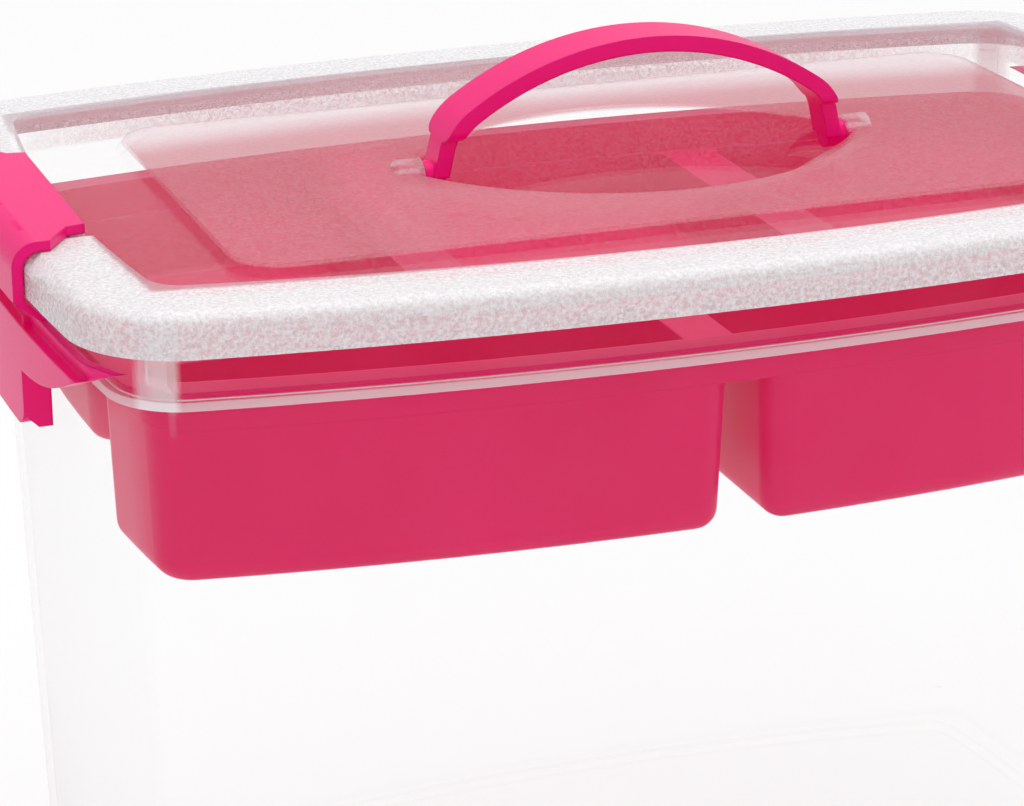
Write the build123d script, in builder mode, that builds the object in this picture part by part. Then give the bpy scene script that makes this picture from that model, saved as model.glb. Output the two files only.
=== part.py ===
"""Clear storage box with a lift-out tray, a latched lid and a folding carry handle.

Millimetres, +Z up. The origin is the middle of the box's underside, +X runs along the long
side and the front is -Y. Every wall of the box is gently bowed in plan, so all of them come
from one outline that is set in from the lid's skirt.
"""

import os

from build123d import *

# Outline of the lid's skirt: sharp corners, bow of the sides, and corner radius
half_length = 180.0
half_width = 102.4
long_side_bow = 15.4
end_bow = 6.0
corner_radius = 30.0

# Heights
rim_top = 240.7  # top of the lid's raised rim
skirt_bottom = 229.3
panel_top = 238.0
channel_top = 234.8  # channel between the rim and the raised panel
scoop_depth = 12.0
scoop_floor = panel_top - scoop_depth
ledge_top = 214.5  # ledge inside the box that carries the tray
pivot_drop = 2.0  # axis of the carry handle under the raised panel
pivot_height = panel_top - pivot_drop

# Lid
wall = 2.0
rim_width = 20.0
rim_round = 4.5
panel_half_length = 134.0
panel_half_width = 68.0
panel_bevel = 3.2
panel_corner = 14.0
scoop_half_length = 71.0
scoop_half_width = 46.0
scoop_floor_half_length = 52.0
scoop_floor_half_width = 17.0
foot_pit_x = 57.5  # a pit at either tip gives the handle's ends room to turn
foot_pit_radius = 9.0
foot_pit_depth = 6.0  # under the handle's axis
foot_pit_floor = pivot_height - foot_pit_depth
socket_inner = 64.3  # inner and outer face of the handle's sockets
socket_outer = 71.5
socket_radius = 5.0

# Storage box
upper_wall_inset = 9.0
lower_wall_inset = 14.0
body_draft = 6.0  # how far the wall leans in between the ledge and the base
rim_gap = 0.3  # between the box's edge and the underside of the lid's rim
base_round = 7.0
foot_width = 16.0
foot_step = 1.5
gusset_drop = 24.0
gusset_width = 6.0
keeper_inset = 5.8  # ridge behind each latch
keeper_half_width = 30.0

# Carry handle
handle_rise = 35.5  # top of the arch over its axis
handle_top = pivot_height + handle_rise
handle_arc = 93.0
handle_half_span = 62.7
handle_lean = 4.0  # the legs lean in by this much up to the shoulders
handle_bend = 18.0
strap_thickness = 4.5
strap_width = 17.0
strap_round = 1.3
neck_width = 9.5
shoulder_rise = 10.5
shoulder_height = pivot_height + shoulder_rise
barrel_radius = 4.0
pin_radius = 2.0
pin_length = 4.0
pin_clearance = 0.1

# Latches
latch_wall = 2.8
latch_gap = 0.4  # clearance round the lid's rim
latch_plate = 2.6
plate_gap = 0.3
latch_half_inner = 35.0  # half width at the plate's inner edge, and at the web
latch_half_outer = 46.0
latch_inner_x = 166.5
latch_flare_x = 178.0  # the plate is at its widest from here outwards
wing_inset = 3.0  # outer face of the wings below the skirt
wing_wall = 2.0
wing_top = 222.8  # just clear of the skirt's edge as the latch swings
wing_tip_rise = 1.4
wing_tip = (93.0, 223.0)
wing_edge = ((80.0, 217.5), (62.0, 210.5), (33.0, 206.3), (0.0, 205.0))
slope_top = 228.2  # the web turns in under the skirt from here
tongue_half_width = 36.0
tongue_inset = 0.3  # the tongue stands out from the wings like a lip
tongue_top = 219.0
tongue_bottom = 190.5
tongue_round = 6.0
cheek_wall = 2.5
cheek_top = 220.6
cheek_reach = 177.5
hinge_x = 168.0
hinge_drop = 2.5  # axis of the latches under the rim's top
hinge_height = rim_top - hinge_drop
hinge_barrel = 2.4
hinge_barrel_half = 28.0
hinge_pin = 1.3
hinge_pin_half = 32.0
knuckle_radius = 2.6
knuckle_inner = 28.4
knuckle_outer = 33.0
knuckle_base = 2.2
pocket_outer_x = 171.5
pocket_inner_x = 163.5
pocket_half_width = 36.5
pocket_depth = 3.0  # under the latches' axis
pocket_floor = hinge_height - pocket_depth
pocket_wall = 1.6

# Tray
flange_inset = 11.8
flange_thickness = 1.6
tray_wall_inset = 17.0
tray_depth = 9.0  # from the ledge down to the strips between the pockets
tray_floor = ledge_top - tray_depth
tray_draft = 2.0  # degrees
pocket_setback = 1.0
front_depth = 44.5  # pockets, under the strips
rear_depth = 22.5
front_gap_x = -8.3  # middle of the gap between the two front pockets
front_gap = 10.0
tray_split_y = -39.0
split_gap = 3.0
rear_split_x = 57.0
rear_gap = 13.0
pocket_corner = 8.0
front_round = 6.0
rear_round = 4.5


def outline(inset):
    """The box's plan, this far inside the lid's skirt."""
    x = half_length - inset
    y = half_width - inset
    with BuildSketch() as plan:
        with BuildLine():
            ThreePointArc((-x, -y), (0, -y - long_side_bow), (x, -y))
            ThreePointArc((x, -y), (x + end_bow, 0), (x, y))
            ThreePointArc((x, y), (0, y + long_side_bow), (-x, y))
            ThreePointArc((-x, y), (-x - end_bow, 0), (-x, -y))
        make_face()
        fillet(plan.vertices(), corner_radius - inset if inset < 22 else 8)
    return plan.sketch


def slab(inset, bottom, top):
    """An upright slab of the box's plan."""
    with BuildPart() as block:
        with BuildSketch(Plane.XY.offset(bottom)):
            add(outline(inset))
        extrude(amount=top - bottom)
    return block.part


def leaning_slab(bottom_inset, top_inset, bottom, top):
    """A slab of the box's plan whose walls lean."""
    with BuildPart() as block:
        with BuildSketch(Plane.XY.offset(bottom)):
            add(outline(bottom_inset))
        with BuildSketch(Plane.XY.offset(top)):
            add(outline(top_inset))
        loft()
    return block.part


def rim_solid(inset, bottom, top, radius):
    """A slab with a rounded shoulder, for the two faces of the rim."""
    with BuildPart() as block:
        add(slab(inset, bottom, top))
        fillet(block.edges().group_by(Axis.Z)[-1], radius)
    return block.part


def tub(bottom_inset, top_inset, bottom, top, radius):
    """A leaning slab with a rounded bottom edge."""
    with BuildPart() as block:
        add(leaning_slab(bottom_inset, top_inset, bottom, top))
        fillet(block.edges().group_by(Axis.Z)[0], radius)
    return block.part


def lens(length, width):
    """Two arcs that meet in points at either end."""
    with BuildSketch() as shape:
        with BuildLine():
            ThreePointArc((-length, 0), (0, -width), (length, 0))
            ThreePointArc((length, 0), (0, width), (-length, 0))
        make_face()
        fillet(shape.vertices(), 3)
    return shape.sketch


def scoop(grow, floor, top):
    """The boat-shaped hollow under the handle and its foot pits, grown by the wall."""
    with BuildPart() as block:
        with BuildSketch(Plane.XY.offset(floor)):
            add(lens(scoop_floor_half_length + grow, scoop_floor_half_width + grow))
        with BuildSketch(Plane.XY.offset(top)):
            add(lens(scoop_half_length + grow, scoop_half_width + grow))
        loft()
        for side in (-1, 1):
            with Locations((side * foot_pit_x, 0, (foot_pit_floor - grow + top) / 2)):
                Cylinder(foot_pit_radius + grow, top - foot_pit_floor + grow)
    return block.part


def raised_panel(grow, top):
    """The lid's raised panel with sloping sides."""
    with BuildPart() as block:
        with BuildSketch(Plane.XY.offset(channel_top - wall)):
            slope = panel_bevel + grow
            RectangleRounded(
                2 * (panel_half_length + slope), 2 * (panel_half_width + slope), panel_corner
            )
        with BuildSketch(Plane.XY.offset(top)):
            RectangleRounded(
                2 * (panel_half_length + grow), 2 * (panel_half_width + grow), panel_corner
            )
        loft()
    return block.part


# Storage box: a drafted tub, the ledge for the tray, and an upper wall inside the lid's rim
box_top = rim_top - wall - rim_gap
with BuildPart() as storage_box:
    add(tub(lower_wall_inset + body_draft, lower_wall_inset, 0, ledge_top, base_round))
    add(slab(upper_wall_inset, ledge_top - wall, box_top))
    with BuildPart(mode=Mode.PRIVATE) as keeper:
        add(slab(keeper_inset, ledge_top + 3, ledge_top + 6))
        with Locations((0, 0, ledge_top)):
            Box(2 * half_length + 20, 2 * keeper_half_width, 20, mode=Mode.INTERSECT)
        Box(2 * (half_length - corner_radius), 2 * half_width, 2 * box_top, mode=Mode.SUBTRACT)
    add(keeper.part)
    # A rib under the rim at every corner
    for x_side in (-1, 1):
        for y_side in (-1, 1):
            with BuildSketch(
                Plane(
                    origin=(x_side * (half_length - 17), y_side * (half_width - 9), 0),
                    x_dir=(x_side, y_side, 0),
                    z_dir=(y_side, -x_side, 0),
                )
            ) as rib:
                with BuildLine():
                    Polyline(
                        (-16, skirt_bottom - 0.4),
                        (1.5, skirt_bottom - 0.4),
                        (1.5, skirt_bottom - 9),
                        (-9, skirt_bottom - gusset_drop),
                        (-16, skirt_bottom - gusset_drop),
                        close=True,
                    )
                make_face()
            extrude(amount=gusset_width / 2, both=True)
    inner = lower_wall_inset + wall
    add(
        tub(inner + body_draft, inner, wall + 0.4, ledge_top, base_round - wall),
        mode=Mode.SUBTRACT,
    )
    add(slab(upper_wall_inset + wall, ledge_top, box_top + 1), mode=Mode.SUBTRACT)
    # The floor steps up inside the foot ring
    foot_inset = lower_wall_inset + body_draft + foot_width
    add(slab(foot_inset, 0, foot_step + wall + 0.4))
    add(slab(foot_inset + wall, -1, foot_step), mode=Mode.SUBTRACT)
    fillet(storage_box.edges().group_by(Axis.Z)[-1], 0.6)
storage_box.part.label = "storage_box"


# Lid: hollow rim, channel, raised panel, scoop, handle sockets and latch pockets
with BuildPart() as lid:
    add(rim_solid(0, skirt_bottom, rim_top, rim_round))
    add(slab(rim_width, channel_top, rim_top + 1), mode=Mode.SUBTRACT)
    with BuildPart(mode=Mode.PRIVATE) as hollow:
        add(rim_solid(wall, skirt_bottom - 1, rim_top - wall, rim_round - wall))
        add(slab(rim_width - wall, skirt_bottom - 1, rim_top), mode=Mode.SUBTRACT)
    add(hollow.part, mode=Mode.SUBTRACT)
    add(raised_panel(0, panel_top))
    add(slab(rim_width, skirt_bottom - 1, channel_top - wall), mode=Mode.SUBTRACT)
    add(raised_panel(-wall, panel_top - wall), mode=Mode.SUBTRACT)
    add(scoop(wall, scoop_floor - wall, panel_top - 0.5))
    add(scoop(0, scoop_floor, panel_top + 1), mode=Mode.SUBTRACT)
    # Handle sockets at the tips of the scoop
    for side in (-1, 1):
        middle = side * (socket_inner + socket_outer) / 2
        depth = socket_outer - socket_inner
        with Locations((middle, 0, (pivot_height + foot_pit_floor) / 2)):
            Box(depth, 2 * socket_radius, pivot_height - foot_pit_floor)
        with Locations(Location((middle, 0, pivot_height), (0, 90, 0))):
            Cylinder(socket_radius, depth)
            Cylinder(pin_radius + pin_clearance, depth + 1, mode=Mode.SUBTRACT)
    # Latch pockets in the rim's inner edge, with a knuckle near either end
    for side in (-1, 1):
        outer = pocket_outer_x + pocket_wall
        inner = hinge_x - knuckle_base
        with Locations((side * (outer + inner) / 2, 0, (pocket_floor - wall + rim_top) / 2)):
            Box(
                outer - inner,
                2 * (pocket_half_width + pocket_wall),
                rim_top - pocket_floor + wall,
            )
        middle = side * (pocket_outer_x + pocket_inner_x - 2) / 2
        with Locations((middle, 0, (pocket_floor + rim_top) / 2 + 1)):
            Box(
                pocket_outer_x - pocket_inner_x + 2,
                2 * pocket_half_width,
                rim_top - pocket_floor + 2,
                mode=Mode.SUBTRACT,
            )
        for end in (-1, 1):
            place = end * (knuckle_inner + knuckle_outer) / 2
            width = knuckle_outer - knuckle_inner
            with Locations((side * hinge_x, place, (pocket_floor + hinge_height) / 2 - 0.5)):
                Box(2 * knuckle_base, width, hinge_height - pocket_floor + 1)
            with Locations(Location((side * hinge_x, place, hinge_height), (90, 0, 0))):
                Cylinder(knuckle_radius, width)
                Cylinder(hinge_pin + pin_clearance, width + 1, mode=Mode.SUBTRACT)
lid.part.label = "lid"


# Carry handle: an arched strap on two narrow necks that lean outwards
with BuildPart() as carry_handle:
    with BuildSketch(Plane.XZ):
        with BuildSketch(mode=Mode.PRIVATE) as arch:
            with BuildLine():
                arc_centre = handle_top - handle_arc
                shoulder_x = handle_half_span - handle_lean
                shoulder_z = arc_centre + (handle_arc**2 - shoulder_x**2) ** 0.5
                foot_z = pivot_height - 2 * strap_thickness
                foot_x = handle_half_span + handle_lean * 0.3
                Line((-foot_x, foot_z), (-shoulder_x, shoulder_z))
                ThreePointArc((-shoulder_x, shoulder_z), (0, handle_top), (shoulder_x, shoulder_z))
                Line((shoulder_x, shoulder_z), (foot_x, foot_z))
                Line((foot_x, foot_z), (-foot_x, foot_z))
            make_face()
            fillet(arch.vertices().group_by(Axis.Y)[-1], handle_bend)
        add(arch.sketch)
        add(offset(arch.sketch, amount=-strap_thickness, mode=Mode.PRIVATE), mode=Mode.SUBTRACT)
        with Locations((0, pivot_height - 2 * handle_rise)):
            Rectangle(4 * handle_half_span, 4 * handle_rise, mode=Mode.SUBTRACT)
    extrude(amount=strap_width / 2, both=True)
    with BuildSketch(Plane.YZ):
        for side in (-1, 1):
            with Locations((side * (neck_width / 2 + strap_width / 2), shoulder_height - 10)):
                Rectangle(strap_width, 20)
    extrude(amount=handle_half_span + 5, both=True, mode=Mode.SUBTRACT)
    corners = carry_handle.edges().filter_by(Axis.X).filter_by_position(
        Axis.Z, shoulder_height - 0.1, shoulder_height + 0.1
    )
    fillet([edge for edge in corners if abs(edge.center().Y) > strap_width / 2 - 0.1], 3)
    for side in (-1, 1):
        inner_face = handle_half_span - strap_thickness
        middle = side * (inner_face + socket_inner - 0.4) / 2
        with Locations(Location((middle, 0, pivot_height), (0, 90, 0))):
            Cylinder(barrel_radius, socket_inner - 0.4 - inner_face)
        with Locations(Location((side * socket_inner, 0, pivot_height), (0, 90, 0))):
            Cylinder(pin_radius, 2 * pin_length)
carry_handle.part.label = "carry_handle"


# Latches: plate over the rim, web, sloping band, wings and a tongue, hinged inside the rim
with BuildPart() as latch_left:
    outer_inset = -latch_gap - latch_wall
    plate_bottom = rim_top + plate_gap
    plate_top = plate_bottom + latch_plate
    add(rim_solid(outer_inset, slope_top, plate_top, rim_round + latch_wall - 0.5))
    add(leaning_slab(wing_inset, outer_inset, wing_top, slope_top))
    add(slab(wing_inset, tongue_bottom, wing_top + wing_tip_rise))
    add(rim_solid(-latch_gap, slope_top, plate_bottom, rim_round), mode=Mode.SUBTRACT)
    add(slab(tongue_inset, tongue_bottom, tongue_top))
    wing_inner = wing_inset + wing_wall
    add(leaning_slab(wing_inner, -latch_gap, wing_top, slope_top), mode=Mode.SUBTRACT)
    add(slab(wing_inner, tongue_bottom, wing_top + wing_tip_rise), mode=Mode.SUBTRACT)
    # Seen from above: a plate that widens outwards
    with BuildSketch(Plane.XY.offset(tongue_bottom)):
        with BuildLine():
            Polyline(
                (-latch_inner_x, -latch_half_inner),
                (-latch_inner_x, latch_half_inner),
                (-pocket_outer_x, latch_half_inner + 1),
                (-latch_flare_x, latch_half_outer),
                (-latch_flare_x, latch_half_outer + 10),
                (-half_length + corner_radius, latch_half_outer + 10),
                (-half_length + corner_radius, half_width),
                (-half_length - 20, half_width),
                (-half_length - 20, -half_width),
                (-half_length + corner_radius, -half_width),
                (-half_length + corner_radius, -latch_half_outer - 10),
                (-latch_flare_x, -latch_half_outer - 10),
                (-latch_flare_x, -latch_half_outer),
                (-pocket_outer_x, -latch_half_inner - 1),
                close=True,
            )
        make_face()
    extrude(amount=plate_top - tongue_bottom + 1, mode=Mode.INTERSECT)
    # Seen from the end: the web, two wings with an arched lower edge, and the tongue
    with BuildSketch(Plane.YZ.offset(-half_length - 2 * end_bow)) as face_view:
        with Locations((0, (wing_top + plate_top + 2) / 2)):
            Rectangle(2 * latch_half_outer, plate_top + 2 - wing_top)
        with BuildLine():
            shoulder = (wing_edge[0][0] + 8, wing_top + wing_tip_rise)
            right_half = [wing_tip, *wing_edge]
            left_half = [(-y, z) for y, z in reversed(right_half[:-1])]
            Spline(*right_half, *left_half)
            Polyline(
                (-wing_tip[0], wing_tip[1]),
                (-shoulder[0], shoulder[1]),
                (-latch_half_outer, wing_top),
                (latch_half_outer, wing_top),
                shoulder,
                wing_tip,
            )
        make_face()
        with Locations((0, (tongue_bottom + wing_top) / 2)):
            Rectangle(2 * tongue_half_width, wing_top - tongue_bottom)
        fillet(face_view.vertices().group_by(Axis.Y)[0], tongue_round)
    extrude(amount=half_length, mode=Mode.INTERSECT)
    # Cheeks at the sides of the tongue
    for side in (-1, 1):
        with BuildSketch(Plane.XZ.offset(-side * (tongue_half_width - cheek_wall / 2))):
            with BuildLine():
                back = -half_length - end_bow + tongue_inset + wing_wall
                Polyline(
                    (back, tongue_bottom + cheek_wall),
                    (back + cheek_wall, tongue_bottom),
                    (-cheek_reach, tongue_bottom),
                    (-cheek_reach, cheek_top),
                    (back, cheek_top),
                    close=True,
                )
            make_face()
        extrude(amount=cheek_wall / 2, both=True)
    # Hinge barrel under the plate, with a pin at either end
    with Locations((-hinge_x - hinge_barrel / 2 + 0.6, 0, (hinge_height + plate_bottom) / 2 + 0.3)):
        Box(hinge_barrel + 1.2, 2 * hinge_barrel_half, plate_bottom - hinge_height + 0.6)
    with Locations(Location((-hinge_x, 0, hinge_height), (90, 0, 0))):
        Cylinder(hinge_barrel, 2 * hinge_barrel_half)
        Cylinder(hinge_pin, 2 * hinge_pin_half)
latch_left.part.label = "latch_left"

with BuildPart() as latch_right:
    add(latch_left.part)
    mirror(about=Plane.YZ, mode=Mode.REPLACE)
latch_right.part.label = "latch_right"


# Tray: flange on the ledge, a shallow upper zone, and five pockets
def pocket(x_low, x_high, y_low, y_high, inset, top, bottom, radius):
    """A tapered pocket that follows the tray's plan, with round corners and a round bottom."""
    with BuildPart() as block:
        with BuildSketch(Plane.XY.offset(top)) as plan:
            add(outline(tray_wall_inset + pocket_setback + inset))
            with Locations(((x_low + x_high) / 2, (y_low + y_high) / 2)):
                Rectangle(
                    x_high - x_low - 2 * inset, y_high - y_low - 2 * inset, mode=Mode.INTERSECT
                )
            straight_x = [x_low + inset, x_high - inset]
            straight_y = [y_low + inset, y_high - inset]
            corners = [
                corner
                for corner in plan.vertices()
                if min(abs(corner.X - x) for x in straight_x) < 0.01
                or min(abs(corner.Y - y) for y in straight_y) < 0.01
            ]
            fillet(corners, pocket_corner - inset)
        extrude(amount=bottom - top, taper=tray_draft)
        fillet(block.edges().group_by(Axis.Z)[0], radius)
    return block.part


far = half_length + 20
pockets = [
    (-far, front_gap_x - front_gap / 2, -far, tray_split_y - split_gap / 2, tray_floor - front_depth, front_round),
    (front_gap_x + front_gap / 2, far, -far, tray_split_y - split_gap / 2, tray_floor - front_depth, front_round),
    (-far, -rear_split_x - rear_gap / 2, tray_split_y + split_gap / 2, far, tray_floor - rear_depth, rear_round),
    (
        -rear_split_x + rear_gap / 2,
        rear_split_x - rear_gap / 2,
        tray_split_y + split_gap / 2,
        far,
        tray_floor - rear_depth,
        rear_round,
    ),
    (rear_split_x + rear_gap / 2, far, tray_split_y + split_gap / 2, far, tray_floor - rear_depth, rear_round),
]
with BuildPart() as tray:
    add(slab(flange_inset, ledge_top, ledge_top + flange_thickness))
    add(leaning_slab(tray_wall_inset + 0.4, tray_wall_inset, tray_floor - wall, ledge_top))
    for x_low, x_high, y_low, y_high, bottom, radius in pockets:
        add(pocket(x_low, x_high, y_low, y_high, 0, tray_floor - 0.5, bottom, radius))
    add(
        leaning_slab(
            tray_wall_inset + wall + 0.4,
            tray_wall_inset + wall,
            tray_floor,
            ledge_top + flange_thickness + 0.01,
        ),
        mode=Mode.SUBTRACT,
    )
    for x_low, x_high, y_low, y_high, bottom, radius in pockets:
        add(
            pocket(x_low, x_high, y_low, y_high, wall, tray_floor, bottom + wall, radius - wall),
            mode=Mode.SUBTRACT,
        )
tray.part.label = "tray"


if __name__ == "__main__":
    os.makedirs("parts", exist_ok=True)
    for piece in (storage_box, lid, carry_handle, latch_left, latch_right, tray):
        export_step(piece.part, "parts/" + piece.part.label + ".step")
        print(piece.part.label, piece.part.is_valid, len(piece.part.solids()), round(piece.part.volume))
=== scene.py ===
"""Clear storage box with a frosted lid, and a pink tray, latches and carry handle.

It stands on a white sweep.
"""

import math

import bmesh
import bpy
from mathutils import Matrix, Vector

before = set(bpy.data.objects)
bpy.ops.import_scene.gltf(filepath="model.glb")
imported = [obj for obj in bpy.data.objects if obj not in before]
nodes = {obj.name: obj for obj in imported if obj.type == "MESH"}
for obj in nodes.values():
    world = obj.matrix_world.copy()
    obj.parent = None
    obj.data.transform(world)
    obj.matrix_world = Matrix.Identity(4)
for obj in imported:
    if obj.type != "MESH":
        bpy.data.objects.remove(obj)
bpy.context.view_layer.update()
bpy.ops.object.select_all(action="DESELECT")

MM = 0.001
LEDGE_MM = 214.5  # top of the ledge inside the box
HALF_LENGTH_MM = 180  # the lid's outline at its corners
HALF_WIDTH_MM = 102.4
LONG_SIDE_BOW_MM = 15.4  # how far each side bulges past its corners
END_BOW_MM = 6.0
RIM_WIDTH_MM = 20.0  # from the outline in to the clear part of the lid
PANEL_MM = 237.0  # height where the lid's raised panel starts

# Pink polypropylene: the handle, latches and tray. One glossy moulded plastic with a faint
# uneven sheen, and a painted glow in its own colour that stands in for light soaking through
# where it is thin.


def linear(code):
    """An sRGB hex colour as linear red, green, blue and alpha."""
    parts = [int(code[i : i + 2], 16) / 255 for i in (0, 2, 4)]
    return [c / 12.92 if c <= 0.04045 else ((c + 0.055) / 1.055) ** 2.4 for c in parts] + [1]


def add_node(tree, kind, inputs=None, **settings):
    """A shader node; inputs maps a socket to a value or to another node's output."""
    node = tree.nodes.new("ShaderNode" + kind)
    for key, value in settings.items():
        setattr(node, key, value)
    for key, value in (inputs or {}).items():
        if isinstance(value, bpy.types.NodeSocket):
            tree.links.new(value, node.inputs[key])
        else:
            node.inputs[key].default_value = value
    return node


def math_node(tree, operation, a, b=0.0, clamp=False):
    """The output of one math node."""
    return add_node(tree, "Math", {0: a, 1: b}, operation=operation, use_clamp=clamp).outputs[0]


def blend(tree, factor, low, high):
    """A value that runs from low to high as factor runs from 0 to 1."""
    mapped = add_node(tree, "MapRange", {"Value": factor, "To Min": low, "To Max": high})
    return mapped.outputs[0]


def noise(tree, size_mm, detail=2.0, roughness=0.5):
    """Noise on the object's own coordinates, with lumps of about this size."""
    place = add_node(tree, "TexCoord").outputs["Object"]
    settings = {
        "Vector": place,
        "Scale": 1000 / size_mm,
        "Detail": detail,
        "Roughness": roughness,
    }
    return add_node(tree, "TexNoise", settings).outputs["Fac"]


def bump(tree, height, strength, depth_mm, normal=None):
    """A bump whose full height is depth_mm."""
    inputs = {"Height": height, "Strength": strength, "Distance": depth_mm * MM}
    if normal is not None:
        inputs["Normal"] = normal
    return add_node(tree, "Bump", inputs).outputs["Normal"]


def new_material(name):
    """An empty node material and its tree, with a Principled shader wired to the output."""
    material = bpy.data.materials.new(name)
    material.use_nodes = True
    tree = material.node_tree
    shader = tree.nodes["Principled BSDF"]
    return material, tree, shader


def colour_mix(tree, factor, low, high):
    """A colour between two hex colours."""
    mix = add_node(tree, "Mix", {"Factor": factor}, data_type="RGBA")
    mix.inputs["A"].default_value = linear(low)
    mix.inputs["B"].default_value = linear(high)
    return mix.outputs["Result"]


def pink_plastic(name, deep, light, roughness, grain_mm, painted_glow):
    """Glossy moulded plastic with a soft mottle, a fine texture and slightly rounded edges."""
    material, tree, shader = new_material(name)
    mottle = noise(tree, 60, detail=1)
    colour = colour_mix(tree, mottle, deep, light)
    tree.links.new(colour, shader.inputs["Base Color"])
    fine = noise(tree, grain_mm, detail=3)
    uneven = blend(tree, fine, roughness - 0.05, roughness + 0.07)
    tree.links.new(uneven, shader.inputs["Roughness"])
    rounded = add_node(tree, "Bevel", {"Radius": 0.9 * MM}, samples=4).outputs["Normal"]
    tree.links.new(bump(tree, fine, 0.25, 0.05, rounded), shader.inputs["Normal"])
    shader.inputs["IOR"].default_value = 1.49
    shader.inputs["Specular IOR Level"].default_value = 0.22
    # Painted glow: emission in the plastic's own colour keeps the shaded sides bright, standing
    # in for light that soaks through the thin walls
    tree.links.new(colour, shader.inputs["Emission Color"])
    shader.inputs["Emission Strength"].default_value = painted_glow
    return material


pink_gloss = pink_plastic("pink_gloss", "E2006C", "EC0678", 0.30, 0.7, 0.08)
pink_tray = pink_plastic("pink_tray", "BC0449", "C80855", 0.34, 0.9, 0.34)


# Clear polypropylene: the wall is almost invisible square on. Where it is seen edge on, along
# the ledge and at the
# corner ribs, its pale white is painted: a painted reflection edge on, and painted highlights
# on the ledge step and the ribs. The lid has a spark-eroded grain, coarse on the rim and fine
# on the raised panel, which also blurs what lies under it.
def facing(tree, power):
    """0 square on to the surface, 1 edge on."""
    edge = add_node(tree, "LayerWeight", {"Blend": 0.5}).outputs["Facing"]
    return math_node(tree, "POWER", edge, power, clamp=True)


def position(tree):
    """The node whose X, Y and Z outputs are the place on the object, in metres."""
    place = add_node(tree, "TexCoord").outputs["Object"]
    return add_node(tree, "SeparateXYZ", {"Vector": place})


def step_up(tree, value, start, end):
    """0 below start, 1 above end, for a value in metres given limits in millimetres."""
    limits = {"Value": value, "From Min": start * MM, "From Max": end * MM}
    return add_node(tree, "MapRange", limits).outputs[0]


def magnitude(tree, value):
    """The value without its sign."""
    return math_node(tree, "ABSOLUTE", value)


def product(tree, *factors):
    """All of these multiplied together."""
    result = factors[0]
    for factor in factors[1:]:
        result = math_node(tree, "MULTIPLY", result, factor)
    return result


def total(tree, *terms):
    """All of these added, held between 0 and 1."""
    result = terms[0]
    for term in terms[1:]:
        result = math_node(tree, "ADD", result, term, clamp=True)
    return result


def clear_plastic():
    """The box wall: a Principled shader whose alpha carries the haze, a painted reflection and
    painted highlights.
    """
    material, tree, shader = new_material("clear_wall")
    haze = noise(tree, 25, detail=2)
    shader.inputs["Base Color"].default_value = linear("F7F6F8")
    fine = noise(tree, 3.0, detail=2)
    tree.links.new(blend(tree, fine, 0.06, 0.16), shader.inputs["Roughness"])
    tree.links.new(bump(tree, haze, 0.15, 0.25), shader.inputs["Normal"])
    axes = position(tree)
    # Partly the real ledge step, partly painted highlight: a pale band at the step's height,
    # where the step is seen edge on
    ledge_highlight = product(
        tree,
        step_up(tree, axes.outputs["Z"], LEDGE_MM - 2.4, LEDGE_MM - 2.0),
        step_up(tree, axes.outputs["Z"], LEDGE_MM + 0.6, LEDGE_MM + 0.2),
    )
    # Partly the real corner ribs, partly painted highlight: the corners above 203 mm are made
    # paler, standing in for light on the rounded corners
    rib_highlight = product(
        tree,
        step_up(tree, magnitude(tree, axes.outputs["X"]), 158, 160),
        step_up(tree, magnitude(tree, axes.outputs["Y"]), 88, 90),
        step_up(tree, axes.outputs["Z"], 203, 204),
    )
    # Alpha: a faint random haze, a painted reflection where the wall is seen edge on, and the
    # painted highlights on the ledge and the ribs
    alpha = total(
        tree,
        blend(tree, haze, 0.006, 0.016),
        product(tree, facing(tree, 6.0), 0.38),
        product(tree, ledge_highlight, 0.40),
        product(tree, rib_highlight, 0.40),
    )
    tree.links.new(alpha, shader.inputs["Alpha"])
    shader.inputs["IOR"].default_value = 1.49
    return material


def rim_inset(tree):
    """How far a point lies inside the lid's bowed outline, in millimetres."""
    axes = position(tree)
    distances = []
    for along, across, half_along, half_across, bow in (
        ("X", "Y", HALF_LENGTH_MM, HALF_WIDTH_MM, LONG_SIDE_BOW_MM),
        ("Y", "X", HALF_WIDTH_MM, HALF_LENGTH_MM, END_BOW_MM),
    ):
        run = math_node(tree, "DIVIDE", axes.outputs[along], half_along * MM)
        square = math_node(tree, "MULTIPLY", run, run)
        edge = blend(tree, square, half_across + bow, half_across)
        away = math_node(tree, "MULTIPLY", magnitude(tree, axes.outputs[across]), 1000)
        distances.append(math_node(tree, "SUBTRACT", edge, away))
    return math_node(tree, "MINIMUM", distances[0], distances[1])


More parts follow.
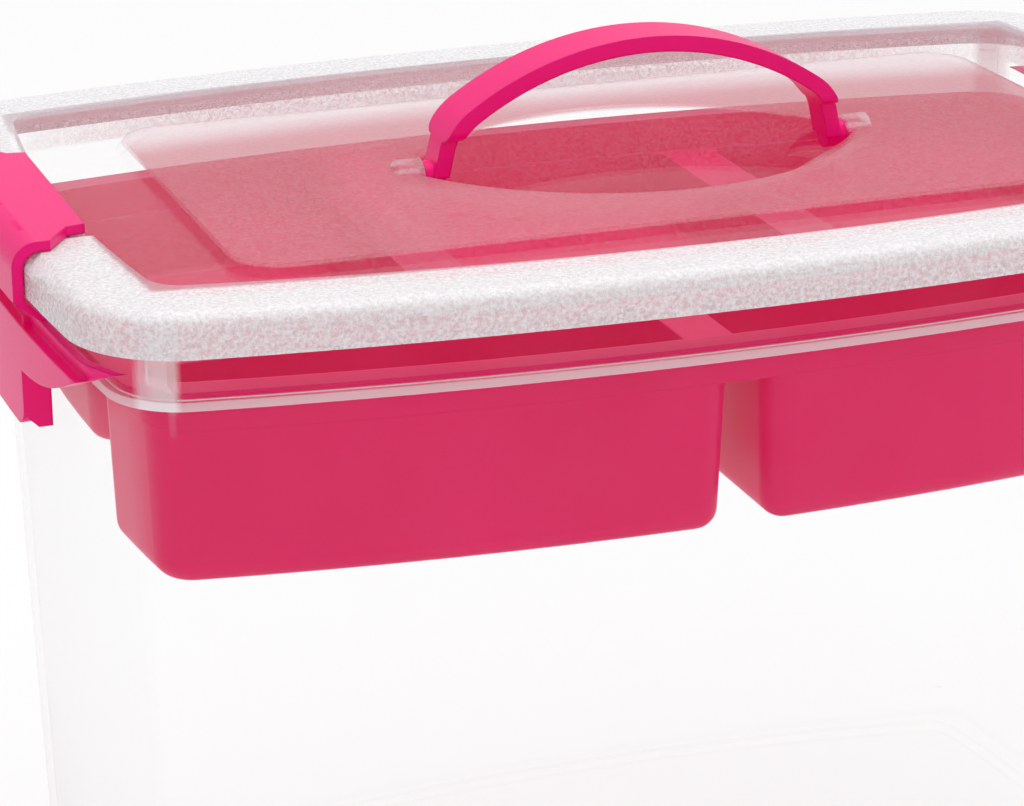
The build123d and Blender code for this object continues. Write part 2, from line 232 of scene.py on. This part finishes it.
def frosted_plastic():
    """The lid: white speckle over clear plastic, with a rough refraction under the panel."""
    material, tree, shader = new_material("frosted_lid")
    axes = position(tree)
    inner_range = {
        "Value": rim_inset(tree),
        "From Min": RIM_WIDTH_MM - 1,
        "From Max": RIM_WIDTH_MM + 1,
    }
    inner = add_node(tree, "MapRange", inner_range).outputs[0]
    panel = product(tree, inner, step_up(tree, axes.outputs["Z"], PANEL_MM, PANEL_MM + 0.6))
    coarse = noise(tree, 1.1, detail=3, roughness=0.65)
    ramp = add_node(tree, "MapRange", {"Value": coarse, "From Min": 0.38, "From Max": 0.64})
    speckle = ramp.outputs[0]
    shader.inputs["Base Color"].default_value = linear("F0EFF1")
    tree.links.new(blend(tree, inner, 0.30, 0.24), shader.inputs["Roughness"])
    depth = blend(tree, inner, 1.0, 0.30)
    grain = add_node(tree, "Bump", {"Height": coarse, "Strength": depth, "Distance": 0.4 * MM})
    tree.links.new(grain.outputs["Normal"], shader.inputs["Normal"])
    shader.inputs["IOR"].default_value = 1.49

    # Painted light from above: the rim's top is made whiter than its side, which lets some pink
    # through
    surface = add_node(tree, "NewGeometry").outputs["Normal"]
    normal = add_node(tree, "SeparateXYZ", {"Vector": surface})
    lit_top = step_up(tree, math_node(tree, "MULTIPLY", normal.outputs["Z"], MM), 0.35, 0.8)
    side_alpha = blend(tree, speckle, 0.40, 0.84)
    top_alpha = blend(tree, speckle, 0.60, 0.93)
    rim = add_node(tree, "Mix", {"Factor": lit_top, "A": side_alpha, "B": top_alpha})
    inside_alpha = total(
        tree,
        blend(tree, speckle, 0.02, 0.06),
        product(tree, panel, blend(tree, speckle, 0.26, 0.46)),
    )
    mixed = add_node(
        tree, "Mix", {"Factor": inner, "A": rim.outputs["Result"], "B": inside_alpha}
    )
    # Painted reflection: the lid turns whiter where it is seen edge on
    alpha = total(tree, mixed.outputs["Result"], product(tree, facing(tree, 5.0), 0.25))
    tree.links.new(alpha, shader.inputs["Alpha"])

    # Seen from outside, the grain of the panel blurs the tray under it
    blur = add_node(tree, "BsdfRefraction", {"Roughness": 0.7, "IOR": 1.10})
    blur.inputs["Color"].default_value = linear("FFF4F8")
    seen = add_node(tree, "LightPath").outputs["Is Camera Ray"]
    cover = product(tree, panel, seen, 0.6)
    both = add_node(tree, "MixShader", {0: cover, 1: shader.outputs[0], 2: blur.outputs[0]})
    tree.links.new(both.outputs[0], tree.nodes["Material Output"].inputs["Surface"])
    return material


def dress(node, material):
    """Gives a CAD node one material."""
    nodes[node].data.materials.clear()
    nodes[node].data.materials.append(material)


dress("storage_box", clear_plastic())
dress("lid", frosted_plastic())
dress("tray", pink_tray)
for name in ("carry_handle", "latch_left", "latch_right"):
    dress(name, pink_gloss)


# The set: a white sweep that the box stands on, running up behind it. The camera sees it
# almost pure white, while it still takes soft light and shade for everything else.
SWEEP_FRONT = -3.0
SWEEP_BACK = 1.6  # where the bend starts
SWEEP_RADIUS = 0.6
SWEEP_TOP = 3.0
SWEEP_HALF_WIDTH = 4
SWEEP_STEPS = 12

sweep_mesh = bpy.data.meshes.new("sweep")
turns = [math.radians(90 / SWEEP_STEPS * i) for i in range(SWEEP_STEPS + 1)]
bend = [
    (SWEEP_BACK + SWEEP_RADIUS * math.sin(a), SWEEP_RADIUS - SWEEP_RADIUS * math.cos(a))
    for a in turns
]
outline = [(SWEEP_FRONT, 0.0)] + bend + [(SWEEP_BACK + SWEEP_RADIUS, SWEEP_TOP)]
build = bmesh.new()
sides = (-SWEEP_HALF_WIDTH, SWEEP_HALF_WIDTH)
rows = [[build.verts.new((x, y, z)) for x in sides] for y, z in outline]
for near, far in zip(rows, rows[1:]):
    build.faces.new((near[0], near[1], far[1], far[0]))
build.to_mesh(sweep_mesh)
build.free()
sweep = bpy.data.objects.new("sweep", sweep_mesh)
bpy.context.scene.collection.objects.link(sweep)
for face in sweep_mesh.polygons:
    face.use_smooth = True
sweep_material, sweep_tree, sweep_shader = new_material("white_sweep")
sweep_shader.inputs["Base Color"].default_value = linear("F6F6F6")
sweep_shader.inputs["Roughness"].default_value = 0.6
seen = add_node(sweep_tree, "LightPath").outputs["Is Camera Ray"]
paper = add_node(sweep_tree, "Emission", {"Color": (1, 1, 1, 1), "Strength": 1.0})
share = math_node(sweep_tree, "MULTIPLY", seen, 0.86)
paper_mix = add_node(sweep_tree, "MixShader", {0: share, 1: sweep_shader.outputs[0]})
sweep_tree.links.new(paper.outputs[0], paper_mix.inputs[2])
sweep_tree.links.new(
    paper_mix.outputs[0], sweep_tree.nodes["Material Output"].inputs["Surface"]
)
sweep_mesh.materials.append(sweep_material)


# Light: broad and even from above, with two weaker boxes at the left front and the right,
# in a white room that the camera sees brighter than the box does.
def area_light(name, place, aim, size, power):
    """A square area light pointed at a spot."""
    lamp = bpy.data.lights.new(name, "AREA")
    lamp.shape = "SQUARE"
    lamp.size = size
    lamp.energy = power
    light = bpy.data.objects.new(name, lamp)
    bpy.context.scene.collection.objects.link(light)
    light.location = place
    light.rotation_euler = (Vector(aim) - Vector(place)).to_track_quat("-Z", "Y").to_euler()


area_light("top_softbox", (0.1, 0.1, 1.7), (0, 0, 0.15), 1.6, 17)
area_light("front_softbox", (-1.1, -1.5, 1.1), (0, 0, 0.15), 1.2, 6)
area_light("right_softbox", (1.6, -0.6, 0.9), (0, 0, 0.15), 1.0, 5)

world = bpy.data.worlds.new("white_room")
bpy.context.scene.world = world
world.use_nodes = True
room = world.node_tree
background = room.nodes["Background"]
ray = add_node(room, "LightPath").outputs["Is Camera Ray"]
room.links.new(blend(room, ray, 0.55, 1.0), background.inputs["Strength"])
background.inputs["Color"].default_value = (1, 1, 1, 1)


# Camera: its place, turn and lens were fitted to the rims, the handle's feet and the floor's
# edge in the photograph, so that the render can be laid over it.
CAMERA_PLACE = (-0.3378, -0.8029, 0.4862)
CAMERA_TILT = 69.5  # degrees from straight down
CAMERA_TURN = -20.52

camera = bpy.data.cameras.new("camera")
camera.sensor_width = 36
camera.lens = 112.6
view = bpy.data.objects.new("camera", camera)
bpy.context.scene.collection.objects.link(view)
view.location = CAMERA_PLACE
view.rotation_euler = (math.radians(CAMERA_TILT), 0, math.radians(CAMERA_TURN))
bpy.context.scene.camera = view
camera.clip_start = 0.01
camera.clip_end = 20

scene = bpy.context.scene
scene.view_settings.view_transform = "Standard"
scene.cycles.transparent_max_bounces = 24
scene.cycles.max_bounces = 8
